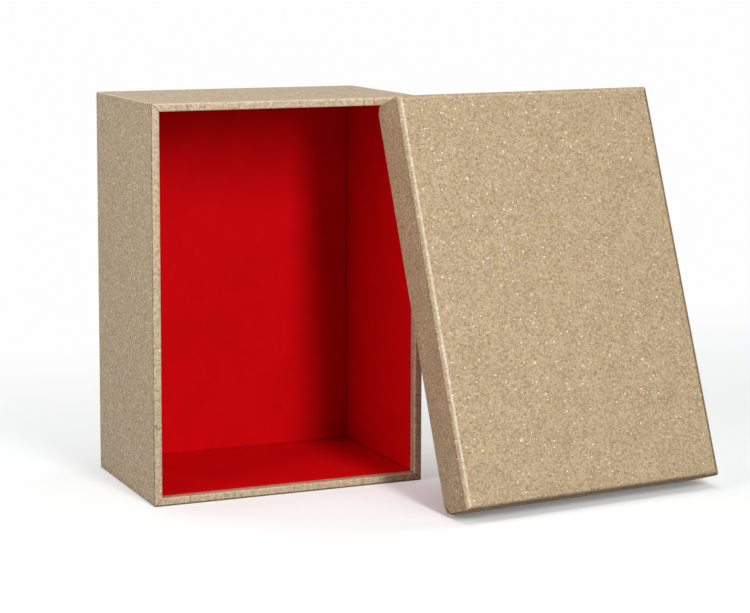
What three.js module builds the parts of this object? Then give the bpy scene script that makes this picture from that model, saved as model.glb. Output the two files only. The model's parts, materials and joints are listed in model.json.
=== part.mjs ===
// A rigid gift box in two halves: a deep tray that stands on its foot end with its opening forward,
// and a shallow lid, taken off, that stands on the floor and leans back against the tray's rim.
// Each half is built of greyboards, paper corner stays, a glittering wrap and a smooth red lining.
//
// Millimetres, +Z up, +Y to the back. The origin is the middle of the face that the tray stands on.

import * as THREE from "three";

// Tray, measured outside
const trayWidth = 160;
const trayLength = 220;
const trayDepth = 102;
const trayBoard = 3;

// Lid: its width and length follow the tray's, the play and its own walls
const lidBoard = 2;
const lidSkirt = 24;
const lidPlay = 0.3;

// Papers, and the layer of glue and play that parts each one from the next
const wrapPaper = 0.35;
const linerPaper = 0.2;
const stayPaper = 0.15;
const glueLine = 0.2;

// How far the wrap turns in over the rim, and how far the lining stays back from the rim
const trayTurnIn = 15;
const lidTurnIn = 12;
const linerSetback = 5.8;

// Rounding of the long walls' boards where they reach the rim. The lid's are worn round.
const trayBoardCorner = 0.8;
const lidBoardCorner = 3;

// Rounding of the closed face's board along its four outer edges
const trayBoardEase = 0.6;
const lidBoardEase = 1.6;

// Reach of a corner stay along each wall, and the gap in the seam between two panels of the wrap
const stayReach = 18;
const seamGap = 0.2;

// How the lid stands: its lean, its turn away from the tray's front, the place of its lower left corner
// along X, and the gap left where its upper edge meets the tray's rim
const lidLean = THREE.MathUtils.degToRad(19.4);
const lidTurn = THREE.MathUtils.degToRad(6);
const lidCornerX = 57.3;
const leanGap = 0.3;

const glitter = new THREE.MeshStandardMaterial({ color: 0xc8b190, roughness: 0.55, metalness: 0.25 });
const lining = new THREE.MeshStandardMaterial({ color: 0xb2060d, roughness: 0.7, metalness: 0 });
const greyboard = new THREE.MeshStandardMaterial({ color: 0x8d867a, roughness: 0.9, metalness: 0 });
const tape = new THREE.MeshStandardMaterial({ color: 0xd9cfb8, roughness: 0.85, metalness: 0 });

// Layers of a side wall, each given as its distance in from the outside of the wrap
function wallLayers(boardThickness) {
  const stay = wrapPaper + glueLine;
  const board = stay + stayPaper + glueLine;
  const turnIn = board + boardThickness + glueLine;
  const liner = turnIn + wrapPaper + glueLine;
  return { stay, board, turnIn, rim: turnIn + wrapPaper, liner, inside: liner + linerPaper };
}

// Layers of the closed face, each given as its distance in from the outside of the wrap
function faceLayers(boardThickness) {
  const board = wrapPaper + glueLine;
  const liner = board + boardThickness + glueLine;
  return { board, inner: board + boardThickness, liner, inside: liner + linerPaper };
}

function mesh(name, geometry, material) {
  const piece = new THREE.Mesh(geometry, material);
  piece.name = name;
  return piece;
}

// A flat sheet or board that fills the space between two corners
function slab(name, material, low, high) {
  const size = new THREE.Vector3().subVectors(high, low);
  const piece = mesh(name, new THREE.BoxGeometry(size.x, size.y, size.z), material);
  piece.position.addVectors(low, high).multiplyScalar(1 / 2);
  return piece;
}

// A board like a slab, whose two corners at the low end of Y are rounded
function roundedBoard(name, material, low, high, radius) {
  const shape = new THREE.Shape();
  shape.moveTo(low.x, high.y);
  shape.absarc(low.x + radius, low.y + radius, radius, Math.PI, Math.PI * 1.5);
  shape.absarc(high.x - radius, low.y + radius, radius, Math.PI * 1.5, Math.PI * 2);
  shape.lineTo(high.x, high.y);
  const geometry = new THREE.ExtrudeGeometry(shape, {
    depth: high.z - low.z,
    curveSegments: 6,
    bevelEnabled: false,
  });
  geometry.translate(0, 0, low.z);
  return mesh(name, geometry, material);
}

// A board like a slab, whose four edges at the high end of Y are rounded
function easedBoard(name, material, low, high, radius) {
  const steps = 3;
  const size = new THREE.Vector3().subVectors(high, low);
  const geometry = new THREE.BoxGeometry(size.x, size.y, size.z, 1, steps + 1, 1);
  const position = geometry.getAttribute("position");
  for (let i = 0; i < position.count; i++) {
    const row = Math.round((position.getY(i) / size.y + 1 / 2) * (steps + 1));
    if (row > 0) {
      const turn = ((row - 1) / steps) * (Math.PI / 2);
      const inset = radius * (1 - Math.cos(turn));
      position.setX(i, position.getX(i) - Math.sign(position.getX(i)) * inset);
      position.setY(i, size.y / 2 - radius * (1 - Math.sin(turn)));
      position.setZ(i, position.getZ(i) - Math.sign(position.getZ(i)) * inset);
    }
  }
  const piece = mesh(name, geometry, material);
  piece.position.addVectors(low, high).multiplyScalar(1 / 2);
  return piece;
}

// A section drawn as [depth, inward] points and run along X, centred on the wall
function run(section, length) {
  const shape = new THREE.Shape(section.map(([depth, inward]) => new THREE.Vector2(depth, inward)));
  const geometry = new THREE.ExtrudeGeometry(shape, { depth: length, bevelEnabled: false });
  geometry.translate(0, 0, -length / 2);
  const alongDepth = new THREE.Vector3(0, 1, 0);
  const inwards = new THREE.Vector3(0, 0, 1);
  const alongWall = new THREE.Vector3(1, 0, 0);
  geometry.applyMatrix4(new THREE.Matrix4().makeBasis(alongDepth, inwards, alongWall));
  return geometry;
}

// Cuts both ends of a run to mitres that stand half a seam back from the corner's diagonal
function mitreEnds(geometry) {
  const setback = seamGap / Math.SQRT2;
  const position = geometry.getAttribute("position");
  for (let i = 0; i < position.count; i++) {
    const x = position.getX(i);
    position.setX(i, x - Math.sign(x) * (position.getZ(i) + setback));
  }
  return geometry;
}

// One flap of the wrap: down the outside of the wall, over the rim and back in over the board
function wrapFlap(name, half, length) {
  const { walls, depth, turnIn } = half;
  const outerEnd = depth - wrapPaper - seamGap;
  const section = [
    [0, 0],
    [outerEnd, 0],
    [outerEnd, wrapPaper],
    [wrapPaper, wrapPaper],
    [wrapPaper, walls.turnIn],
    [turnIn, walls.turnIn],
    [turnIn, walls.rim],
    [0, walls.rim],
  ];
  return mesh(name, mitreEnds(run(section, length)), glitter);
}

// A side wall with its board, flap and lining, made as the foot wall: outside at z = 0, rim at y = 0.
// The boards and linings of the two long walls run through, and those of the two end walls stop at them.
function sideWall(half, side, length, runsThrough) {
  const { name, walls, face, depth, boardCorner } = half;
  const boardEnd = runsThrough ? walls.board : walls.turnIn;
  const linerEnd = runsThrough ? walls.liner : walls.inside + glueLine;
  const boardHalf = length / 2 - boardEnd;
  const linerHalf = length / 2 - linerEnd;
  const boardName = `${name}_board_${side}`;
  const boardLow = new THREE.Vector3(-boardHalf, wrapPaper + glueLine, walls.board);
  const boardHigh = new THREE.Vector3(boardHalf, depth - face.inner - glueLine, walls.turnIn - glueLine);
  const board = runsThrough
    ? roundedBoard(boardName, greyboard, boardLow, boardHigh, boardCorner)
    : slab(boardName, greyboard, boardLow, boardHigh);
  const liner = slab(
    `${name}_lining_${side}`,
    lining,
    new THREE.Vector3(-linerHalf, linerSetback, walls.liner),
    new THREE.Vector3(linerHalf, depth - face.inside - glueLine, walls.inside),
  );
  const wall = new THREE.Group();
  wall.add(board, liner, wrapFlap(`${name}_wrap_${side}`, half, length));
  return wall;
}

// A paper tape folded over one corner of the boards, between their roundings at the rim and the face
function cornerStay(name, half) {
  const { walls, face, depth, boardCorner, boardEase } = half;
  const from = walls.stay;
  const to = walls.stay + stayPaper;
  const shape = new THREE.Shape([
    new THREE.Vector2(from, from),
    new THREE.Vector2(from + stayReach, from),
    new THREE.Vector2(from + stayReach, to),
    new THREE.Vector2(to, to),
    new THREE.Vector2(to, from + stayReach),
    new THREE.Vector2(from, from + stayReach),
  ]);
  const rimEnd = wrapPaper + glueLine + boardCorner;
  const height = depth - rimEnd - face.board - boardEase;
  const geometry = new THREE.ExtrudeGeometry(shape, { depth: height, bevelEnabled: false });
  geometry.rotateX(Math.PI / 2);
  geometry.translate(0, rimEnd + height, 0);
  return mesh(name, geometry, tape);
}

// The closed face: the board behind the walls, the wrap's main panel and the lining's main sheet
function closedFace(half) {
  const { name, faceName, walls, face, width, length, depth, boardEase } = half;
  const low = (edge, inner) => new THREE.Vector3(edge - width / 2, depth - inner, edge);
  const high = (edge, outer) => new THREE.Vector3(width / 2 - edge, depth - outer, length - edge);
  const board = easedBoard(
    `${name}_board_${faceName}`,
    greyboard,
    low(walls.board, face.inner),
    high(walls.board, face.board),
    boardEase,
  );
  const wrap = slab(`${name}_wrap_${faceName}`, glitter, low(0, wrapPaper), high(0, 0));
  const liner = slab(
    `${name}_lining_${faceName}`,
    lining,
    low(walls.turnIn, face.inside),
    high(walls.turnIn, face.liner),
  );
  const group = new THREE.Group();
  group.add(board, wrap, liner);
  return group;
}

// A whole half, with its rim at y = 0, its closed face at y = depth and its foot end at z = 0.
// left is the side of X that counts as left for someone who looks at the half in its place.
function boxHalf(half) {
  const { name, width, length, left } = half;
  const group = new THREE.Group();
  group.add(closedFace(half));

  const foot = sideWall(half, "foot", width, false);
  const top = sideWall(half, "top", width, false);
  top.rotation.y = Math.PI;
  top.position.z = length;
  group.add(foot, top);

  for (const [side, sign] of [["left", left], ["right", -left]]) {
    const wall = sideWall(half, side, length, true);
    wall.rotation.y = -sign * (Math.PI / 2);
    wall.position.set((sign * width) / 2, 0, length / 2);
    group.add(wall);
  }

  const corners = [
    { x: -1, end: "foot", turn: 0 },
    { x: -1, end: "top", turn: 1 },
    { x: 1, end: "top", turn: 2 },
    { x: 1, end: "foot", turn: 3 },
  ];
  for (const { x, end, turn } of corners) {
    const side = x === left ? "left" : "right";
    const stay = cornerStay(`${name}_stay_${end}_${side}`, half);
    stay.rotation.y = turn * (Math.PI / 2);
    stay.position.set((x * width) / 2, 0, end === "top" ? length : 0);
    group.add(stay);
  }
  return group;
}

const trayWalls = wallLayers(trayBoard);
const tray = boxHalf({
  name: "tray",
  faceName: "back",
  left: -1,
  width: trayWidth,
  length: trayLength,
  depth: trayDepth,
  boardCorner: trayBoardCorner,
  boardEase: trayBoardEase,
  turnIn: trayTurnIn,
  walls: trayWalls,
  face: faceLayers(trayBoard),
});
tray.position.y = -trayDepth / 2;

// The lid slips over the tray with the same play all round
const lidWalls = wallLayers(lidBoard);
const lidWidth = trayWidth + 2 * (lidPlay + lidWalls.inside);
const lidLength = trayLength + 2 * (lidPlay + lidWalls.inside);
const lid = boxHalf({
  name: "lid",
  faceName: "face",
  left: 1,
  width: lidWidth,
  length: lidLength,
  depth: lidSkirt,
  boardCorner: lidBoardCorner,
  boardEase: lidBoardEase,
  turnIn: lidTurnIn,
  walls: lidWalls,
  face: faceLayers(lidBoard),
});

// The lid is turned round, so that its open side looks at the tray, with its lower left corner at zero
lid.rotation.z = Math.PI;
lid.position.x = lidWidth / 2;

// Its upper rear edge lies on the tray's right front rim. That fixes how far forward its foot stands.
const topX = lidCornerX - lidLength * Math.sin(lidTurn) * Math.sin(lidLean);
const edgeRun = (trayWidth / 2 - topX) / Math.cos(lidTurn);
const topY = -trayDepth / 2 - leanGap - edgeRun * Math.sin(lidTurn);
const lidCornerY = topY - lidLength * Math.cos(lidTurn) * Math.sin(lidLean);

const leaningLid = new THREE.Group();
leaningLid.rotation.set(-lidLean, 0, lidTurn, "ZXY");
leaningLid.position.set(lidCornerX, lidCornerY, 0);
leaningLid.add(lid);

const giftBox = new THREE.Group();
giftBox.add(tray, leaningLid);

export default giftBox;
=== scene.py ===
"""A rigid gift box in glitter paper with a red lining: the tray on end, the lid leaning against it.

Each half is dressed with one folded wrap and one lining, modelled around the boards and stays of the
frame. Lengths are in metres and angles in degrees unless a name says otherwise.
"""

import json
import logging
import math
from abc import ABC, abstractmethod
from collections.abc import Callable, Iterable
from dataclasses import dataclass, field
from enum import Enum, IntEnum

import bmesh
import bpy
from mathutils import Matrix, Vector


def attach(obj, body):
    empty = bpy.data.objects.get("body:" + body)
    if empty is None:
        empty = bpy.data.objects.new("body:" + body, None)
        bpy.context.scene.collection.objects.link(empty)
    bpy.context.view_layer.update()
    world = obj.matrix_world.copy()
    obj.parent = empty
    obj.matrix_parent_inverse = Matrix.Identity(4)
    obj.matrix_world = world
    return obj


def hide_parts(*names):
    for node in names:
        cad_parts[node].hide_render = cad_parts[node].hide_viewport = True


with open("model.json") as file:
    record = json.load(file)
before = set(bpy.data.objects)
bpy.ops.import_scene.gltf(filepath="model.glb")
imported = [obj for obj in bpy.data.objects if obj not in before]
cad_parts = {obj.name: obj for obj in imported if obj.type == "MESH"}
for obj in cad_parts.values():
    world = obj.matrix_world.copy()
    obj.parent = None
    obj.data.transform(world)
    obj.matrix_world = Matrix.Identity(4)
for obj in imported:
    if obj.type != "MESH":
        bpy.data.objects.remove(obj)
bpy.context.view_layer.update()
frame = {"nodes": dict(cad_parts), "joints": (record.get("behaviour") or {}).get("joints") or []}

MM = 0.001
TINY = 0.01 * MM
IMAGE_WIDTH = 750
IMAGE_HEIGHT = 613
SMOOTH_ANGLE = math.radians(40)
LOG = logging.getLogger("gift_box")

# Cosines between a face's normal and an axis, for faces that lie square to it, roughly so, or along it.
SQUARE = 0.9995
ROUGHLY_SQUARE = 0.7
ALONG_IT = 0.1

Point = tuple[float, float, float]
Colour = tuple[float, float, float]
Range = tuple[float, float]
Socket = bpy.types.NodeSocket
Value = Socket | float | Colour
Face = bmesh.types.BMFace
Edge = bmesh.types.BMEdge
FaceTest = Callable[[Face], bool]
CornerValue = Callable[[Face, Vector], float]


class Layer(Enum):
    """What a node of a half is made of: the word in its name, and the record's material slot."""

    BOARD = ("board", "greyboard")
    WRAP = ("wrap", "glitter_paper")
    LINING = ("lining", "red_lining")
    STAY = ("stay", "paper_tape")

    def __init__(self, word: str, slot: str) -> None:
        """Names the layer's word and slot."""
        self.word, self.slot = word, slot


class Axis(IntEnum):
    """A half's own axes: from its left to its right, from its rim to its closed face, from foot to top."""

    ACROSS = 0
    DEEP = 1
    ALONG = 2


class Mark(Enum):
    """What a sheet's mesh tells its finish, as numbers on its face corners."""

    FOLD = "fold"
    RIM = "rim"
    RUN = "run"
    SEAM = "seam"


class FoldLook(Enum):
    """How a fold looks: where its two sides lie on the glitter paper's scale of folds.

    On that scale a painted shade line lies up to 0.3, a painted highlight around 0.9, and painted shade from
    1.2 to 1.6.
    """

    # Each look lays painted shade and painted highlights across a fold, as light falls on it.
    CREASED = (0.0, 0.5)
    CREASED_AND_POLISHED = (0.0, 1.0)
    PLAIN = (0.4, 0.7)
    POLISHED = (0.4, 1.0)
    POLISHED_INSIDE = (1.0, 0.4)
    DARKENED = (1.25, 1.42)
    SHADED = (1.25, 1.62)


class Pick(Enum):
    """What is selected in edit mode: the mode's name, and the name of the mesh's parts."""

    FACES = ("FACE", "faces")
    POINTS = ("VERT", "verts")


def linear(red: int, green: int, blue: int) -> Colour:
    """Turns a display colour into scene-linear light.

    Args:
        red: Red from 0 to 255.
        green: Green from 0 to 255.
        blue: Blue from 0 to 255.

    Returns:
        The three linear values.
    """
    knee, slope, offset, power = 0.04045, 12.92, 0.055, 2.4
    shares = [value / 255 for value in (red, green, blue)]
    return tuple(s / slope if s <= knee else ((s + offset) / (1 + offset)) ** power for s in shares)


@dataclass(frozen=True)
class Step:
    """A smooth step: where it starts and ends, and the values there."""

    start: float
    end: float
    to: Range = (0.0, 1.0)


@dataclass(frozen=True)
class Band:
    """A stretch of a scale: where it starts, is full, fades and ends, and its full value."""

    start: float
    full: float
    fade: float
    end: float
    top: float = 1.0


@dataclass(frozen=True)
class Pattern:
    """A cloudy pattern: the size of its spots, its finer octaves and their strength, and its step."""

    size: float
    octaves: float = 2.0
    strength: float = 0.5
    step: Step = Step(0.3, 0.7)


@dataclass(frozen=True)
class Tooth:
    """How a paper's fine pattern shows: in its roughness, its gloss and its relief."""

    roughness: Step
    gloss: float
    relief: float
    height: float


class Nodes:
    """A node tree, with short calls for the nodes that the finishes and the studio share."""

    def __init__(self, tree: bpy.types.NodeTree) -> None:
        """Keeps the tree to work in."""
        self.tree = tree

    def node(self, kind: str, **settings: object) -> bpy.types.Node:
        """Adds a node and sets its properties.

        Args:
            kind: The node's type name.
            **settings: Properties of the node.

        Returns:
            The new node.
        """
        made = self.tree.nodes.new(kind)
        for key, value in settings.items():
            setattr(made, key, value)
        return made

    def feed(self, socket: Socket, value: Value) -> None:
        """Links an output to a socket, or sets the socket's own value.

        Args:
            socket: The input socket.
            value: An output socket, a number or a colour.
        """
        if isinstance(value, Socket):
            self.tree.links.new(value, socket)
        elif isinstance(value, tuple):
            socket.default_value = (*value, 1)
        else:
            socket.default_value = value

    def wire(self, node: bpy.types.Node, *values: Value, **named: Value) -> bpy.types.NodeOutputs:
        """Feeds a node's inputs with output sockets, numbers or colours.

        Args:
            node: The node.
            *values: What its first inputs get, in their order.
            **named: What other inputs get, named with underscores for spaces.

        Returns:
            The node's outputs.
        """
        for socket, value in zip(node.inputs, values):
            self.feed(socket, value)
        for key, value in named.items():
            self.feed(node.inputs[key.replace("_", " ")], value)
        return node.outputs

    def calc(self, operation: str, a: Value, b: Value) -> Socket:
        """Combines two values by an operation of the math node."""
        return self.wire(self.node("ShaderNodeMath", operation=operation), a, b)[0]

    def times(self, a: Value, b: Value) -> Socket:
        """Multiplies two values."""
        return self.calc("MULTIPLY", a, b)

    def spread(self, value: Socket, step: Step) -> Socket:
        """Shapes a value by a smooth step, clamped at both ends."""
        made = self.node("ShaderNodeMapRange", interpolation_type="SMOOTHSTEP")
        return self.wire(made, value, step.start, step.end, *step.to)[0]

    def between(self, share: Socket, ends: Range) -> Socket:
        """Turns a share from 0 to 1 into a value between two ends."""
        return self.spread(share, Step(0.0, 1.0, ends))

    def band(self, value: Socket, band: Band) -> Socket:
        """Gives a band's full value where a value lies in it, fading to 0 at both its ends."""
        rise = self.spread(value, Step(band.start, band.full))
        return self.times(rise, self.spread(value, Step(band.fade, band.end, (band.top, 0.0))))

    def mix(self, share: Value, a: Value, b: Value, blend: str = "MIX") -> Socket:
        """Mixes two colours.

        Args:
            share: How much of the second colour.
            a: First colour.
            b: Second colour.
            blend: The blend type.

        Returns:
            The mixed colour's socket.
        """
        made = self.node("ShaderNodeMix", data_type="RGBA", blend_type=blend)
        colour_a, colour_b, result = 6, 7, 2
        for index, value in ((0, share), (colour_a, a), (colour_b, b)):
            self.feed(made.inputs[index], value)
        return made.outputs[result]

    def backwards(self, coordinate: str) -> Socket:
        """Reads the Y value of a texture coordinate."""
        place = self.node("ShaderNodeTexCoord").outputs[coordinate]
        return self.wire(self.node("ShaderNodeSeparateXYZ"), place)["Y"]


class Surface(Nodes):
    """A material's nodes: a principled shader, and patterns that lie in the object's own space."""

    def __init__(self, name: str) -> None:
        """Starts a material.

        Args:
            name: The material's name.
        """
        self.material = bpy.data.materials.new(name)
        self.material.use_nodes = True
        super().__init__(self.material.node_tree)
        self.shader = self.tree.nodes["Principled BSDF"]
        self.place = self.node("ShaderNodeTexCoord").outputs["Object"]
        self.coat: Value = (1.0, 1.0, 1.0)

    def lay(self, share: Value, colour: Value, blend: str = "MIX") -> None:
        """Lays a share of a colour over the coat."""
        self.coat = self.mix(share, self.coat, colour, blend)

    def noise(self, pattern: Pattern, way: Socket | None = None) -> Socket:
        """Adds a cloudy pattern without its step.

        Args:
            pattern: The pattern.
            way: A place along a length in metres, for a pattern that changes along it only.

        Returns:
            The pattern's value, around a half.
        """
        made = self.node("ShaderNodeTexNoise", noise_dimensions="1D" if way else "3D")
        self.feed(made.inputs["W" if way else "Vector"], way or self.place)
        scale = 1 / pattern.size
        return self.wire(made, Scale=scale, Detail=pattern.octaves, Roughness=pattern.strength)[0]

    def blotches(self, pattern: Pattern, way: Socket | None = None) -> Socket:
        """Adds a cloudy pattern, shaped by its step."""
        return self.spread(self.noise(pattern, way), pattern.step)

    def cells(self, size: float) -> tuple[Socket, Socket]:
        """Adds cells: the distance to a cell's middle as a share of its size, and its random colour."""
        found = self.wire(self.node("ShaderNodeTexVoronoi"), Vector=self.place, Scale=1 / size)
        return found["Distance"], found["Color"]

    def channels(self, colour: Socket) -> list[Socket]:
        """Splits a colour into its three values."""
        return list(self.wire(self.node("ShaderNodeSeparateColor"), colour))

    def mark(self, mark: Mark) -> Socket:
        """Reads a number that the mesh carries on its face corners."""
        return self.node("ShaderNodeAttribute", attribute_name=mark.value).outputs["Fac"]

    def bump(self, relief: Socket, strength: float, height: float) -> Socket:
        """Bends the normal by a relief, with a strength from 0 to 1 and the height of a full step."""
        return self.wire(self.node("ShaderNodeBump"), Strength=strength, Distance=height, Height=relief)[0]

    def dress(self, pattern: Socket, tooth: Tooth) -> bpy.types.Material:
        """Finishes a plain paper with its coat and its tooth.

        Args:
            pattern: The fine pattern.
            tooth: How the pattern shows.

        Returns:
            The material.
        """
        self.wire(
            self.shader,
            Base_Color=self.coat,
            Roughness=self.spread(pattern, tooth.roughness),
            Specular_IOR_Level=tooth.gloss,
            Normal=self.bump(pattern, tooth.relief, tooth.height),
        )
        return self.material


@dataclass(frozen=True)
class GlitterPaper:
    """Kraft-gold paper under a dense coat of fine glitter, with painted shade and painted highlights on its
    folds.

    The reach of a flake and of a star's edge is a share of its cell. A strength that is a range goes from
    the folds away from the rim to those on the rim.
    """

    dull_grain: Colour = linear(182, 158, 122)
    bright_grain: Colour = linear(214, 192, 160)
    pit: Colour = linear(122, 99, 68)
    # Colour of the pale metallic flakes and stars, bright as painted glints.
    flake: Colour = linear(255, 246, 228)
    rim_pale: Colour = linear(244, 222, 190)
    # Colour of the painted highlight along folds.
    painted_highlight: Colour = linear(250, 238, 216)
    # Colour of the bare paper under the coat at nicks, specks and seams, also used for the painted shade on
    # folds.
    bare_and_shade: Colour = linear(112, 86, 52)
    pink: Colour = linear(254, 250, 252)
    olive: Colour = linear(252, 252, 245)

    grain: float = 1.0 * MM
    fine_grain: float = 0.55 * MM
    coarse_share: float = 0.6
    contrast: Step = Step(0.1, 0.9)
    pits: Step = Step(0.05, 0.12, (1.0, 0.0))
    pit_strength: float = 0.43
    tint: Pattern = Pattern(6 * MM, step=Step(0.34, 0.66))
    cloud: Pattern = Pattern(14 * MM, 3.0, step=Step(0.3, 0.7, (0.965, 1.035)))

    flake_cell: float = 1.9 * MM
    flake_reach: Range = (0.12, 0.27)
    flake_gleam: Range = (0.25, 0.95)
    swarms: Pattern = Pattern(9 * MM, step=Step(0.36, 0.64, (0.84, 0.42)))
    star_cell: float = 5.0 * MM
    star_rarity: float = 0.66
    star_edge: Step = Step(0.08, 0.14, (0.9, 0.0))
    star_hue: float = 0.08

    rim_pale_blotches: Pattern = Pattern(2.2 * MM, step=Step(0.36, 0.64, (0.2, 0.62)))
    nicks: Pattern = Pattern(3.2 * MM, step=Step(0.7, 0.74))
    nick_strength: float = 0.4
    specks: Pattern = Pattern(1.1 * MM, 1.0, step=Step(0.62, 0.7))
    speck_strength: float = 0.6

    # Random mottle that varies the strength of the painted shade lines, highlights and shade on folds.
    fold_mottle: Pattern = Pattern(1.8 * MM, step=Step(0.35, 0.6, (0.45, 1.0)))
    # Bands on the fold scale for the painted shade line, the painted highlight and the painted shade, and
    # their strengths.
    shade_line_band: Band = Band(-0.05, 0.02, 0.16, 0.34)
    highlight_band: Band = Band(0.58, 0.84, 0.97, 1.1)
    shade_band: Band = Band(1.15, 1.25, 1.42, 1.6, top=0.85)
    shade_line_strength: Range = (0.5, 0.9)
    highlight_strength: Range = (0.7, 0.4)
    shade_mottle: Step = Step(0.45, 1.0, (0.8, 1.0))
    seam_strength: float = 0.85

    roughness: Range = (0.62, 0.42)
    glint: float = 0.35
    gloss: float = 0.2
    relief_share: float = 0.7
    relief: float = 0.35
    height: float = 0.12 * MM

    def material(self) -> bpy.types.Material:
        """Builds the paper's material.

        Returns:
            The material.
        """
        g = Surface("glitter_paper")
        _, coarse = g.cells(self.grain)
        _, fine = g.cells(self.fine_grain)
        red, green, blue = g.channels(coarse)
        fine_part = g.times(g.channels(fine)[0], 1 - self.coarse_share)
        grains = g.calc("ADD", g.times(red, self.coarse_share), fine_part)
        g.coat = g.mix(g.spread(grains, self.contrast), self.dull_grain, self.bright_grain)
        g.lay(1.0, g.mix(g.blotches(self.tint), self.pink, self.olive), "MULTIPLY")
        g.lay(1.0, g.blotches(self.cloud), "MULTIPLY")
        g.lay(g.times(g.spread(green, self.pits), self.pit_strength), self.pit)
        flakes = self.add_flakes(g)
        self.add_rim(g)
        self.add_folds(g)
        relief = g.calc("ADD", g.times(grains, self.relief_share), g.times(blue, 1 - self.relief_share))
        g.wire(
            g.shader,
            Base_Color=g.coat,
            Roughness=g.between(grains, self.roughness),
            Metallic=g.times(flakes, self.glint),
            Specular_IOR_Level=self.gloss,
            Normal=g.bump(relief, self.relief, self.height),
        )
        return g.material

    def add_flakes(self, g: Surface) -> Socket:
        """Scatters pale metallic flakes in loose swarms, and rarer stars with a hint of colour, their sparkle
        painted in as glints of uneven strength.

        Args:
            g: The material's nodes.

        Returns:
            Where the flakes and stars lie.
        """
        near, who = g.cells(self.flake_cell)
        draw, size, gleam = g.channels(who)
        chosen = g.calc("GREATER_THAN", draw, g.blotches(self.swarms))
        flake = g.times(chosen, g.calc("LESS_THAN", near, g.between(size, self.flake_reach)))
        g.lay(g.times(flake, g.between(gleam, self.flake_gleam)), self.flake)
        near, who = g.cells(self.star_cell)
        chosen = g.calc("GREATER_THAN", g.channels(who)[0], self.star_rarity)
        star = g.times(chosen, g.spread(near, self.star_edge))
        g.lay(star, g.mix(self.star_hue, self.flake, who))
        return g.calc("MAXIMUM", flake, star)

    def add_rim(self, g: Surface) -> None:
        """Lightens the rim in pale blotches, and scars it with nicks and specks.

        Args:
            g: The material's nodes.
        """
        rim = g.mark(Mark.RIM)
        g.lay(g.times(rim, g.blotches(self.rim_pale_blotches)), self.rim_pale)
        nick = g.times(g.blotches(self.nicks, g.mark(Mark.RUN)), self.nick_strength)
        speck = g.times(g.blotches(self.specks), self.speck_strength)
        g.lay(g.times(rim, g.calc("MAXIMUM", nick, speck)), self.bare_and_shade)

    def add_folds(self, g: Surface) -> None:
        """Draws each fold's painted shade line, painted highlight or painted shade, and darkens the seams.

        Args:
            g: The material's nodes.
        """
        way = g.calc("SUBTRACT", g.mark(Mark.FOLD), 1.0)
        rim = g.mark(Mark.RIM)
        # A random mottle that varies the painted shade and highlights on folds.
        worn = g.blotches(self.fold_mottle)
        # Painted shade line at a fold's start, painted highlight near its end, and painted shade across folds
        # that turn from the light.
        painted_shade_line = g.times(g.band(way, self.shade_line_band), g.between(rim, self.shade_line_strength))
        painted_highlight = g.times(g.band(way, self.highlight_band), g.between(rim, self.highlight_strength))
        shade = g.times(g.band(way, self.shade_band), g.spread(worn, self.shade_mottle))
        g.lay(g.times(painted_shade_line, worn), self.bare_and_shade)
        g.lay(g.times(painted_highlight, worn), self.painted_highlight)
        g.lay(shade, self.bare_and_shade)
        g.lay(g.times(g.mark(Mark.SEAM), self.seam_strength), self.bare_and_shade)


@dataclass(frozen=True)
class LiningPaper:
    """Smooth matte red paper, with a faint cloud in its colour, painted shade in its folded corners and a
    fine tooth.
    """

    colour: Colour = linear(226, 5, 16)
    shade: Colour = linear(218, 5, 14)
    # Dark red painted into the lining's folds as shade.
    fold: Colour = linear(120, 1, 6)
    fold_shade_strength: float = 0.4
    cloud: Pattern = Pattern(22 * MM, 4.0, 0.6)
    grain: Pattern = Pattern(0.35 * MM)
    tooth: Tooth = Tooth(Step(0.2, 0.8, (0.72, 0.84)), gloss=0.06, relief=0.12, height=0.03 * MM)

    def material(self) -> bpy.types.Material:
        """Builds the lining's material.

        Returns:
            The material.
        """
        g = Surface("red_lining")
        g.coat = g.mix(g.blotches(self.cloud), self.shade, self.colour)
        g.lay(g.times(g.mark(Mark.FOLD), self.fold_shade_strength), self.fold)
        return g.dress(g.noise(self.grain), self.tooth)


@dataclass(frozen=True)
class Board:
    """Solid grey-brown board: fibres, specks of waste paper and a felted surface."""

    colour: Colour = linear(141, 134, 122)
    fibre: Colour = linear(112, 104, 92)
    speck: Colour = linear(196, 190, 178)
    felt: Pattern = Pattern(1.2 * MM, 5.0, 0.65)
    speck_cell: float = 2.4 * MM
    speck_rarity: float = 0.7
    speck_reach: float = 0.16
    speck_strength: float = 0.6
    tooth: Tooth = Tooth(Step(0.2, 0.8, (0.86, 0.96)), gloss=0.3, relief=0.3, height=0.1 * MM)

    def material(self) -> bpy.types.Material:
        """Builds the board's material.

        Returns:
            The material.
        """
        g = Surface("greyboard")
        felt = g.noise(self.felt)
        near, who = g.cells(self.speck_cell)
        chosen = g.calc("GREATER_THAN", g.channels(who)[0], self.speck_rarity)
        speck = g.times(chosen, g.calc("LESS_THAN", near, self.speck_reach))
        g.coat = g.mix(g.spread(felt, self.felt.step), self.fibre, self.colour)
        g.lay(g.times(speck, self.speck_strength), self.speck)
        return g.dress(felt, self.tooth)


@dataclass(frozen=True)
class Tape:
    """Pale gummed paper tape with long fibres."""

    colour: Colour = linear(217, 207, 184)
    fibre: Colour = linear(190, 178, 150)
    fibres: Pattern = Pattern(0.8 * MM, 4.0, 0.7, Step(0.35, 0.65))
    tooth: Tooth = Tooth(Step(0.2, 0.8, (0.8, 0.9)), gloss=0.3, relief=0.2, height=0.05 * MM)

    def material(self) -> bpy.types.Material:
        """Builds the tape's material.

        Returns:
            The material.
        """
        g = Surface("paper_tape")
        fibres = g.noise(self.fibres)
        g.coat = g.mix(g.spread(fibres, self.fibres.step), self.fibre, self.colour)
        return g.dress(fibres, self.tooth)


def looks_out(face: Face) -> bool:
    """Whether a face looks out of its half's opening."""
    return face.normal.y < -ROUGHLY_SQUARE


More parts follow.
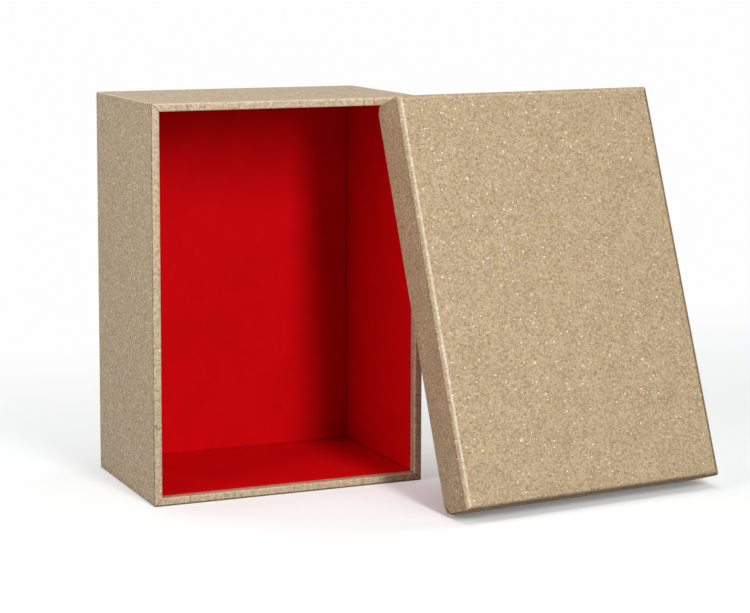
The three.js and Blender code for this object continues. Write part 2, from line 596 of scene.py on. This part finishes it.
def is_folded(face: Face) -> bool:
    """Whether a face belongs to a fold and not to a flat panel."""
    return max(abs(value) for value in face.normal) < SQUARE


def turned(target: float, start: float, size: float) -> float:
    """Turns the distances from a fold's target and start panels into the share of its turn, 0 to 1."""
    return math.atan2(max(size - target, 0), max(size - start, 0)) / (math.pi / 2)


class Workbench:
    """Edit-mode work on one mesh, with faces, edges and vertices chosen by their place."""

    def __init__(self, name: str, low: Point, high: Point) -> None:
        """Adds a block between two corners and opens it for editing.

        Args:
            name: The piece's name.
            low: The lowest corner.
            high: The highest corner.
        """
        bpy.ops.object.select_all(action="DESELECT")
        middle = [(a + b) / 2 for a, b in zip(low, high)]
        size = [b - a for a, b in zip(low, high)]
        bpy.ops.mesh.primitive_cube_add(size=1, location=middle, scale=size)
        self.piece = bpy.context.object
        self.piece.name = name
        self.piece.data.name = name
        bpy.ops.object.transform_apply(location=True, rotation=True, scale=True)
        self.open()

    def open(self) -> None:
        """Opens the piece for editing, with nothing selected."""
        bpy.context.view_layer.objects.active = self.piece
        bpy.ops.object.mode_set(mode="EDIT")
        bpy.ops.mesh.select_all(action="DESELECT")

    def close(self) -> None:
        """Leaves edit mode."""
        bpy.ops.mesh.select_all(action="DESELECT")
        bpy.ops.object.mode_set(mode="OBJECT")

    def mesh(self) -> bmesh.types.BMesh:
        """The mesh that is open for editing."""
        return bmesh.from_edit_mesh(self.piece.data)

    def pick(self, test: Callable[..., bool], kind: Pick = Pick.FACES) -> int:
        """Selects only the faces or vertices that pass a test.

        Args:
            test: Says whether one is wanted.
            kind: What is selected.

        Returns:
            How many are selected.
        """
        mode, parts = kind.value
        bpy.ops.mesh.select_mode(type=mode)
        bpy.ops.mesh.select_all(action="DESELECT")
        found = [part for part in getattr(self.mesh(), parts) if test(part)]
        for part in found:
            part.select_set(True)
        bmesh.update_edit_mesh(self.piece.data)
        return len(found)

    def weigh(self, test: Callable[[Edge], bool], weight: float) -> None:
        """Gives the edges that pass a test a bevel weight.

        Args:
            test: Says whether an edge is wanted.
            weight: The weight from 0 to 1.
        """
        mesh = self.mesh()
        layer = mesh.edges.layers.float.get("bevel_weight_edge")
        layer = layer or mesh.edges.layers.float.new("bevel_weight_edge")
        for edge in mesh.edges:
            if test(edge):
                edge[layer] = weight
        bmesh.update_edit_mesh(self.piece.data)

    def mark(self, mark: Mark, value: CornerValue | float, test: FaceTest) -> None:
        """Writes a number on each corner of the faces that pass a test.

        Args:
            mark: What the number stands for.
            value: The number, or what gives it from the face and the corner's place.
            test: Says whether a face is wanted.
        """
        mesh = self.mesh()
        layer = mesh.loops.layers.float.get(mark.value) or mesh.loops.layers.float.new(mark.value)
        for face in filter(test, mesh.faces):
            for loop in face.loops:
                loop[layer] = value(face, loop.vert.co) if callable(value) else value
        bmesh.update_edit_mesh(self.piece.data)

    def cut(self, point: Vector, normal: Vector, test: FaceTest) -> None:
        """Cuts the faces that pass a test by the plane through a point."""
        if self.pick(test):
            bpy.ops.mesh.bisect(plane_co=point, plane_no=normal)

    def cut_across(self, axis: Axis, places: Iterable[float]) -> None:
        """Cuts the whole mesh square to an axis.

        Args:
            axis: The axis.
            places: Where along it.
        """
        normal = Vector.Fill(3, 0.0)
        normal[axis] = 1.0
        for place in places:
            self.cut(normal * place, normal, lambda face: True)

    def groove(
        self, middle: Vector, across: Vector, width: float, sink: Vector, gape: float, test: FaceTest
    ) -> None:
        """Sinks a strip of the chosen faces, and marks it as a seam.

        Args:
            middle: A point on the strip's middle line.
            across: The direction across the strip.
            width: The strip's width.
            sink: How the strip moves.
            gape: How far the seam gapes, from 0 to 1.
            test: Says whether a face may be cut.
        """
        for side in (-0.5, 0.5):
            self.cut(middle + across * (width * side), across, test)

        def is_inside(face: Face) -> bool:
            """Whether a chosen face lies in the strip."""
            return test(face) and abs((face.calc_center_median() - middle).dot(across)) < width / 2

        if self.pick(is_inside):
            bpy.ops.mesh.extrude_region_move(TRANSFORM_OT_translate={"value": sink})
            self.mark(Mark.SEAM, gape, lambda face: face.select)

    def modify(self, kind: str, **settings: object) -> None:
        """Adds a modifier to the closed piece and applies it.

        Args:
            kind: The modifier's type.
            **settings: Its properties.
        """
        modifier = self.piece.modifiers.new(kind.title(), kind)
        for key, value in settings.items():
            setattr(modifier, key, value)
        bpy.context.view_layer.objects.active = self.piece
        bpy.ops.object.modifier_apply(modifier=modifier.name)

    def round_folds(self, width: float, segments: int) -> None:
        """Rounds the weighed edges, and opens the piece again.

        Args:
            width: The rounding at a weight of 1.
            segments: How many steps it has.
        """
        self.close()
        self.modify("BEVEL", limit_method="WEIGHT", width=width, segments=segments, use_clamp_overlap=False)
        self.open()


def span(nodes: Iterable[str], axis: Vector) -> Range:
    """Finds the lowest and the highest place of frame nodes along a unit direction."""
    reach = [v.co.dot(axis) for name in nodes for v in frame["nodes"][name].data.vertices]
    return min(reach), max(reach)


@dataclass(frozen=True)
class Depths:
    """How far a place lies from the nearer long wall, the nearer end wall, the rim and the closed face."""

    long_wall: float
    end_wall: float
    rim: float
    back: float

    @property
    def is_long(self) -> bool:
        """Whether a long wall is nearer than the end walls."""
        return self.long_wall < self.end_wall

    @property
    def wall(self) -> float:
        """The distance from the nearest wall."""
        return min(self.long_wall, self.end_wall)

    @property
    def second_wall(self) -> float:
        """The distance from the nearest wall that is square to that one."""
        return max(self.long_wall, self.end_wall)


@dataclass(frozen=True)
class RimCorner:
    """An outer corner of the rim: its place, its side (-1 or 1), and the way from its end inwards."""

    place: Vector
    side: int
    inwards: int


@dataclass
class BoxHalf(ABC):
    """One half of the box: a folded wrap and a lining, around the boards and stays of the frame.

    panel is the word for its closed face in a node's name. lap is how far from the ends the seams of the
    long walls run. The long face fold on the lit side, -1 or 1, gets a painted shade line and a painted
    highlight, and the other long face fold gets painted shade. wear_rows are the cuts that a worn corner
    is bent at, as shares of wear_reach. place holds the half's own axes, with the rim at y = 0 and the foot
    end at z = 0.
    """

    name: str
    body: str
    panel: str
    turn_in: float
    face_fold: float
    lap: float
    lap_open: float
    lit_side: int
    rim_wear: float = 0.0
    wear_reach: float = 5 * MM
    wear_rows: tuple[float, ...] = (0.46, 0.76, 1.1)
    wear_sideways: float = 0.15
    corner_fold: float = 1.0 * MM
    rim_fold: float = 1.0 * MM
    inner_fold: float = 0.6 * MM
    fold_segments: int = 6
    lining_fold: float = 1.0 * MM
    lining_segments: int = 4
    paper: float = 0.35 * MM
    lining_paper: float = 0.2 * MM
    seam: float = 0.4 * MM
    seam_depth: float = 0.15 * MM
    lap_seam: float = 0.22 * MM
    lap_slant: float = 0.012
    mitre_open: float = 1.0
    inner_seam: float = 0.7
    margin: float = 0.4 * MM
    place: Matrix = field(init=False)
    width: float = field(init=False)
    depth: float = field(init=False)
    length: float = field(init=False)
    rim_width: float = field(init=False)

    def __post_init__(self) -> None:
        """Reads the half's place and size from its wrap nodes. Its rim is as wide as a wrapped wall."""
        deep, along = self.directions()
        axes = (deep.cross(along).normalized(), deep, along)
        (left, right), (rim, face), (foot, top) = (span(self.nodes(Layer.WRAP), axis) for axis in axes)
        self.width, self.depth, self.length = right - left, face - rim, top - foot
        self.place = Matrix(axes).transposed().to_4x4()
        self.place.translation = axes[0] * (left + right) / 2 + deep * rim + along * foot
        low, high = self.reach(Layer.WRAP, "foot", Axis.ALONG)
        self.rim_width = high - low

    @abstractmethod
    def directions(self) -> tuple[Vector, Vector]:
        """Finds how the half stands.

        Returns:
            The direction from its rim to its closed face, and the one from its foot end to its top end.
        """

    def nodes(self, layer: Layer) -> list[str]:
        """Names of this half's nodes of one layer."""
        start = f"{self.name}_{layer.word}_"
        return [name for name in frame["nodes"] if name.startswith(start)]

    def reach(self, layer: Layer, panel: str, axis: Axis) -> Range:
        """Measures one node along one of the half's own axes.

        Args:
            layer: The node's layer.
            panel: The word for its panel.
            axis: The axis.

        Returns:
            The lowest and the highest place along it.
        """
        direction = self.place.col[axis].to_3d()
        low, high = span([f"{self.name}_{layer.word}_{panel}"], direction)
        start = self.place.translation.dot(direction)
        return low - start, high - start

    def depths(self, at: Vector) -> Depths:
        """Measures how deep a place, on the half's own axes, lies in it."""
        to_end = min(at.z, self.length - at.z)
        return Depths(self.width / 2 - abs(at.x), to_end, at.y, self.depth - at.y)

    def middle(self, face: Face) -> Depths:
        """How deep the middle of a face lies."""
        return self.depths(face.calc_center_median())

    def is_rim(self, face: Face) -> bool:
        """Whether a face belongs to the rim or its folds."""
        return self.middle(face).rim < self.rim_fold

    def is_inner_corner(self, face: Face) -> bool:
        """Whether a face lies where two turned-in walls meet."""
        here, low, high = self.middle(face), self.rim_width - TINY, self.rim_width + self.margin
        return low < here.wall and here.second_wall < high and abs(face.normal.y) < ALONG_IT

    def rim_corners(self) -> list[RimCorner]:
        """The four outer corners of the rim."""
        ways = [(side, *end) for side in (-1, 1) for end in ((0.0, 1), (self.length, -1))]
        return [RimCorner(Vector((side * self.width / 2, 0, end)), side, way) for side, end, way in ways]

    def make_wrap(self) -> bpy.types.Object:
        """Models the wrap: five outer panels, the rim and the turn-in, with rounded folds and seams.

        Returns:
            The wrap.
        """
        side = self.width / 2
        bench = Workbench(f"{self.name}_wrap", (-side, 0, 0), (side, self.depth, self.length))
        bench.pick(looks_out)
        bpy.ops.mesh.inset(thickness=self.rim_width)
        bpy.ops.mesh.extrude_region_move(TRANSFORM_OT_translate={"value": (0, self.turn_in, 0)})
        bpy.ops.mesh.delete(type="FACE")
        bench.round_folds(self.weigh_folds(bench), self.fold_segments)
        self.frame_folds(bench)
        self.cut_seams(bench)
        self.wear_corners(bench)
        bench.mark(Mark.FOLD, self.way_round, is_folded)
        bench.mark(Mark.RIM, 1.0, self.is_rim)
        bench.mark(Mark.RUN, self.way_along, self.is_rim)
        return self.thicken(bench, self.paper)

    def weigh_folds(self, bench: Workbench) -> float:
        """Sets how wide each fold of the wrap is rounded.

        Args:
            bench: The wrap before it is rounded.

        Returns:
            The widest rounding.
        """
        largest = max(self.face_fold, self.corner_fold, self.rim_fold)

        def lies(edge: Edge, is_outside: bool, depth: float) -> bool:
            """Whether an edge lies at a depth, between outer or between inner corners."""
            ends = [self.depths(vert.co) for vert in edge.verts]
            return all((end.second_wall < TINY) == is_outside and abs(end.rim - depth) < TINY for end in ends)

        def runs_deep(edge: Edge) -> bool:
            """Whether an edge runs down an outer corner, from the rim to the closed face."""
            ends = [self.depths(vert.co) for vert in edge.verts]
            return all(end.second_wall < TINY for end in ends) and abs(ends[0].rim - ends[1].rim) > TINY

        bench.weigh(lambda edge: lies(edge, True, self.depth), self.face_fold / largest)
        bench.weigh(lambda edge: lies(edge, True, 0.0), self.rim_fold / largest)
        bench.weigh(lambda edge: lies(edge, False, 0.0), self.inner_fold / largest)
        bench.weigh(runs_deep, self.corner_fold / largest)
        return largest

    def frame_folds(self, bench: Workbench) -> None:
        """Frames the flat panels with narrow margins, so that the folds' shading ends where they do.

        Args:
            bench: The rounded wrap.
        """
        worn = [self.wear_reach * share for share in self.wear_rows] if self.rim_wear else []
        edges = [fold + self.margin for fold in (self.corner_fold, self.face_fold, self.rim_width)] + worn
        bench.cut_across(Axis.ACROSS, [side * (self.width / 2 - edge) for edge in edges for side in (-1, 1)])
        bench.cut_across(Axis.ALONG, [at for edge in edges for at in (edge, self.length - edge)])
        near_back = self.depth - self.face_fold - self.margin
        bench.cut_across(Axis.DEEP, [self.rim_fold + self.margin, near_back, *worn])

    def cut_seams(self, bench: Workbench) -> None:
        """Sinks the mitres of the rim, and the laps that run along both ends of the long walls.

        Args:
            bench: The wrap with its folds.
        """
        for corner in self.rim_corners():
            self.cut_mitre(bench, corner)
            self.cut_lap(bench, corner)
        bench.mark(Mark.SEAM, self.inner_seam, self.is_inner_corner)

    def cut_mitre(self, bench: Workbench, corner: RimCorner) -> None:
        """Sinks the mitre across one corner of the rim.

        Args:
            bench: The wrap with its folds.
            corner: The corner.
        """

        def is_near(face: Face) -> bool:
            """Whether a face of the rim lies at the corner."""
            away = face.calc_center_median() - corner.place
            return looks_out(face) and max(abs(away.x), abs(away.z)) < self.rim_width

        across = Vector((corner.inwards, 0, corner.side)).normalized()
        sink = Vector((0, self.seam_depth, 0))
        bench.groove(corner.place, across, self.seam, sink, self.mitre_open, is_near)

    def cut_lap(self, bench: Workbench, corner: RimCorner) -> None:
        """Sinks the edge of the lap that runs down a long wall from one corner of the rim.

        Args:
            bench: The wrap with its folds.
            corner: The corner.
        """

        def is_outer_wall(face: Face) -> bool:
            """Whether a face lies on the outside of the corner's long wall."""
            return face.normal.x * corner.side > SQUARE and self.middle(face).long_wall < self.rim_width / 2

        middle = corner.place + Vector((0, 0, corner.inwards * self.lap))
        across = Vector((0, -self.lap_slant * corner.inwards, 1)).normalized()
        sink = Vector((-corner.side * self.seam_depth, 0, 0))
        bench.groove(middle, across, self.lap_seam, sink, self.lap_open, is_outer_wall)

    def wear_corners(self, bench: Workbench) -> None:
        """Rounds the outer corners of the rim, which are knocked first.

        Args:
            bench: The wrap with its seams.
        """
        if not self.rim_wear:
            return
        for corner in self.rim_corners():
            bench.pick(lambda vert: (vert.co - corner.place).length < self.corner_fold, Pick.POINTS)
            sideways = -corner.side * self.rim_wear * self.wear_sideways
            bpy.ops.transform.translate(
                value=(sideways, self.rim_wear, corner.inwards * self.rim_wear),
                use_proportional_edit=True,
                proportional_edit_falloff="SMOOTH",
                proportional_size=self.wear_reach,
            )

    def way_round(self, face: Face, corner: Vector) -> float:
        """Measures the way round a fold, on the scale that its look runs through.

        Args:
            face: A face of the fold.
            corner: The place of one of the face's corners.

        Returns:
            The number for Mark.FOLD: the place on the scale, plus 1.
        """
        here, at = self.middle(face), self.depths(corner)
        at_wall = at.long_wall if here.is_long else at.end_wall
        is_foot = corner.z < self.length / 2
        # Painted shade lines and highlights where light falls on a fold, and painted shade where it turns
        # from the light or meets the floor at the foot.
        if here.back < self.face_fold:
            is_lit_side = corner.x * self.lit_side > 0
            long_look = FoldLook.CREASED_AND_POLISHED if is_lit_side else FoldLook.DARKENED
            end_look = FoldLook.SHADED if is_foot else FoldLook.PLAIN
            turn = turned(at.back, at_wall, self.face_fold)
        elif max(here.rim, here.wall) < self.rim_fold:
            long_look = FoldLook.CREASED
            end_look = FoldLook.DARKENED if is_foot else FoldLook.POLISHED
            turn = turned(at.rim, at_wall, self.rim_fold)
        elif here.rim < self.inner_fold:
            long_look = end_look = FoldLook.POLISHED_INSIDE
            turn = turned(at.rim, self.rim_width - at_wall, self.inner_fold)
        else:
            long_look = end_look = FoldLook.SHADED if is_foot else FoldLook.POLISHED
            turn = turned(at.end_wall, at.long_wall, self.corner_fold)
        start, end = (long_look if here.is_long else end_look).value
        return 1 + start + (end - start) * turn

    def way_along(self, face: Face, corner: Vector) -> float:
        """Measures the way along the rim, for a corner of one of its faces."""
        return corner.z if self.middle(face).is_long else corner.x

    def make_lining(self) -> bpy.types.Object:
        """Models the lining: one sheet over the closed face and up the four walls, with soft corners.

        Returns:
            The lining.
        """
        side, length = self.width / 2, self.length
        _, inset = self.reach(Layer.LINING, "foot", Axis.ALONG)
        front, _ = self.reach(Layer.LINING, "foot", Axis.DEEP)
        back, _ = self.reach(Layer.LINING, self.panel, Axis.DEEP)
        low, high = (inset - side, front, inset), (side - inset, back, length - inset)
        bench = Workbench(f"{self.name}_lining", low, high)
        bench.pick(looks_out)
        bpy.ops.mesh.delete(type="FACE")
        bench.weigh(lambda edge: not edge.is_boundary, 1.0)
        bpy.ops.mesh.select_all(action="SELECT")
        bpy.ops.mesh.flip_normals()
        bench.round_folds(self.lining_fold, self.lining_segments)
        edge = inset + self.lining_fold + self.margin
        bench.cut_across(Axis.ACROSS, (edge - side, side - edge))
        bench.cut_across(Axis.DEEP, (back - self.lining_fold - self.margin,))
        bench.cut_across(Axis.ALONG, (edge, length - edge))
        # Marks the lining's folds, where the painted shade goes.
        bench.mark(Mark.FOLD, 1.0, is_folded)
        return self.thicken(bench, self.lining_paper)

    def thicken(self, bench: Workbench, thickness: float) -> bpy.types.Object:
        """Gives a sheet its thickness, and moves its mesh to the half's place.

        Args:
            bench: The sheet, on the half's own axes.
            thickness: The paper's thickness.

        Returns:
            The piece.
        """
        bench.close()
        bench.modify("SOLIDIFY", thickness=thickness, offset=-1, use_even_offset=True)
        piece = bench.piece
        piece.matrix_world = self.place
        bpy.ops.object.select_all(action="DESELECT")
        piece.select_set(True)
        bpy.context.view_layer.objects.active = piece
        bpy.ops.object.transform_apply(location=True, rotation=True, scale=True)
        bpy.ops.object.shade_smooth_by_angle(angle=SMOOTH_ANGLE)
        return piece

    def build(self, finishes: dict[Layer, bpy.types.Material]) -> list[bpy.types.Object]:
        """Builds the half's papers and dresses its boards and stays.

        Args:
            finishes: The material of each layer.

        Returns:
            All its pieces.
        """
        pieces = []
        for layer, make in ((Layer.WRAP, self.make_wrap), (Layer.LINING, self.make_lining)):
            piece = make()
            piece.data.materials.append(finishes[layer])
            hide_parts(*self.nodes(layer))
            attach(piece, self.body)
            pieces.append(piece)
        for layer in (Layer.BOARD, Layer.STAY):
            for name in self.nodes(layer):
                piece = frame["nodes"][name]
                piece.data.materials.clear()
                piece.data.materials.append(finishes[layer])
                pieces.append(piece)
        return pieces


@dataclass
class Tray(BoxHalf):
    """The tray, which stands on its foot end with its opening to the front."""

    name: str = "tray"
    body: str = "tray"
    panel: str = "back"
    turn_in: float = 15 * MM
    face_fold: float = 1.4 * MM
    lap: float = 1.6 * MM
    lap_open: float = 0.25
    lit_side: int = -1

    def directions(self) -> tuple[Vector, Vector]:
        """Straight back, and straight up."""
        return Vector((0, 1, 0)), Vector((0, 0, 1))


@dataclass
class Lid(BoxHalf):
    """The lid, which leans back against the tray with its face to the front, worn at its rim's corners."""

    name: str = "lid"
    body: str = "lid"
    panel: str = "face"
    turn_in: float = 12 * MM
    face_fold: float = 2.8 * MM
    lap: float = 2.0 * MM
    lap_open: float = 0.7
    lit_side: int = 1
    rim_wear: float = 1.2 * MM

    def directions(self) -> tuple[Vector, Vector]:
        """Reads how the lid leans from the joint that lifts it.

        Returns:
            The direction out of its face, and the direction up its length.
        """
        joint = next(joint for joint in frame["joints"] if joint["child"] == self.body)
        out = Vector(joint["axis"]).normalized()
        across = Vector((0, 0, 1)).cross(out).normalized()
        return out, out.cross(across).normalized()


@dataclass(frozen=True)
class Camera:
    """The photograph's camera, fitted to the box's straight edges."""

    position: Point = (-0.4488, -1.1815, 0.3070)
    azimuth: float = 23.82
    tilt: float = 7.07
    roll: float = 0.2
    focal_pixels: float = 2228
    centre_row: float = 216
    sensor_mm: float = 36
    sight: float = 100

    def build(self) -> None:
        """Adds the camera and makes it the scene's own."""
        data = bpy.data.cameras.new("camera")
        data.sensor_width = self.sensor_mm
        data.lens = self.focal_pixels / IMAGE_WIDTH * self.sensor_mm
        data.shift_y = (self.centre_row - IMAGE_HEIGHT / 2) / IMAGE_WIDTH
        data.clip_end = self.sight
        camera = bpy.data.objects.new("camera", data)
        bpy.context.scene.collection.objects.link(camera)
        camera.matrix_world = Matrix.Translation(self.position)
        for angle, axis in ((-self.azimuth, "Z"), (90 - self.tilt, "X"), (self.roll, "Z")):
            camera.matrix_world = camera.matrix_world @ Matrix.Rotation(math.radians(angle), 4, axis)
        bpy.context.scene.camera = camera


@dataclass(frozen=True)
class Lamp:
    """A soft lamp that looks towards the box.

    azimuth is counted from straight in front of the tray, to the right; level is the light that it
    lays on a white surface turned to it.
    """

    name: str
    azimuth: float
    elevation: float
    level: float

    def add(self, kind: str) -> bpy.types.Object:
        """Adds a lamp, turned to the box.

        Args:
            kind: Blender's type of light.

        Returns:
            The lamp.
        """
        lamp = bpy.data.objects.new(self.name, bpy.data.lights.new(self.name, kind))
        bpy.context.scene.collection.objects.link(lamp)
        lamp.rotation_euler = (math.radians(90 - self.elevation), 0, math.radians(self.azimuth))
        return lamp


@dataclass(frozen=True)
class FarLamp(Lamp):
    """A lamp far away, with parallel light."""

    spread: float

    def build(self) -> None:
        """Adds the lamp."""
        light = self.add("SUN").data
        light.energy = self.level * math.pi
        light.angle = math.radians(self.spread)


@dataclass(frozen=True)
class SoftBox(Lamp):
    """An oval soft box near the box, which the camera doesn't see."""

    distance: float
    width: float
    height: float
    aim: Point = (0, -0.05, 0.11)

    def build(self) -> None:
        """Adds the soft box."""
        lamp = self.add("AREA")
        lamp.data.shape = "ELLIPSE"
        lamp.data.size = self.width
        lamp.data.size_y = self.height
        lamp.data.energy = self.level * (math.pi * self.distance) ** 2
        lamp.visible_camera = False
        side, rise = math.radians(self.azimuth), math.radians(self.elevation)
        way = Vector((math.sin(side) * math.cos(rise), -math.cos(side) * math.cos(rise), math.sin(rise)))
        lamp.location = Vector(self.aim) + way * self.distance


@dataclass(frozen=True)
class Studio:
    """A white sweep without a horizon, a light tent, three far lamps and two soft boxes."""

    floor_reach: float = 40.0
    floor_sides: int = 96
    floor_bounce: Colour = (0.3, 0.3, 0.3)
    floor_seen: Colour = (1.17, 1.21, 1.22)
    sweep: Step = Step(-0.3, 0.45)
    white: float = 0.985
    cloth: Step = Step(0.0, 0.5, (0.02, 0.2))
    backdrop: Colour = (1.0, 1.0, 1.0)
    lamps: tuple[SoftBox | FarLamp, ...] = (
        SoftBox("key", azimuth=4, elevation=25, level=0.65, distance=1.3, width=0.25, height=0.8),
        SoftBox("left", azimuth=-75, elevation=20, level=0.39, distance=0.8, width=0.5, height=0.5),
        FarLamp("top", azimuth=0, elevation=85, level=0.2, spread=30),
        FarLamp("right", azimuth=95, elevation=28, level=0.2, spread=40),
        FarLamp("back", azimuth=-150, elevation=35, level=0.12, spread=60),
    )

    def build(self) -> None:
        """Adds lamps, floor and tent."""
        for lamp in self.lamps:
            lamp.build()
        self.add_floor()
        self.add_tent()

    def seen(self, g: Nodes) -> Socket:
        """Adds the test for what the camera sees, straight or by way of a gloss or a glass.

        Args:
            g: The nodes to add it to.

        Returns:
            One where it is seen, zero where it only gives light.
        """
        rays = g.node("ShaderNodeLightPath").outputs
        straight = g.calc("MAXIMUM", rays["Is Camera Ray"], rays["Is Glossy Ray"])
        return g.calc("MAXIMUM", straight, rays["Is Transmission Ray"])

    def add_floor(self) -> None:
        """Adds the floor: white paper that throws back some light and fades to plain white behind."""
        bpy.ops.object.select_all(action="DESELECT")
        sides, reach = self.floor_sides, self.floor_reach
        bpy.ops.mesh.primitive_circle_add(vertices=sides, radius=reach, fill_type="NGON")
        floor = bpy.context.object
        floor.name = "floor"
        material = bpy.data.materials.new("floor")
        material.use_nodes = True
        material.node_tree.nodes.clear()
        g = Nodes(material.node_tree)
        seen = self.seen(g)
        paper = g.node("ShaderNodeBsdfDiffuse")
        (lit,) = g.wire(paper, Color=g.mix(seen, self.floor_bounce, self.floor_seen))
        (glow,) = g.wire(g.node("ShaderNodeEmission"), Strength=self.white)
        fade = g.times(g.spread(g.backwards("Object"), self.sweep), seen)
        (blend,) = g.wire(g.node("ShaderNodeMixShader"), fade, lit, glow)
        g.wire(g.node("ShaderNodeOutputMaterial"), Surface=blend)
        floor.data.materials.append(material)

    def add_tent(self) -> None:
        """Lights the box softly from behind, and shows white where a ray meets nothing."""
        world = bpy.data.worlds.new("tent")
        world.use_nodes = True
        g = Nodes(world.node_tree)
        strength = g.node("ShaderNodeMix")
        share, unseen, full = 0, 2, 3
        g.feed(strength.inputs[share], self.seen(g))
        g.feed(strength.inputs[unseen], g.spread(g.backwards("Generated"), self.cloth))
        g.feed(strength.inputs[full], 1.0)
        g.wire(g.tree.nodes["Background"], Color=self.backdrop, Strength=strength.outputs[0])
        bpy.context.scene.world = world


def main() -> None:
    """Builds the camera, the two halves and the studio."""
    logging.basicConfig(level=logging.INFO, format="%(name)s %(message)s")
    bpy.context.scene.view_settings.view_transform = "Standard"
    Camera().build()
    finishes = {
        Layer.BOARD: Board().material(),
        Layer.WRAP: GlitterPaper().material(),
        Layer.LINING: LiningPaper().material(),
        Layer.STAY: Tape().material(),
    }
    for half in (Tray(), Lid()):
        for piece in half.build(finishes):
            LOG.info("%s: %d faces", piece.name, len(piece.data.polygons))
    Studio().build()


if __name__ == "__main__":
    main()
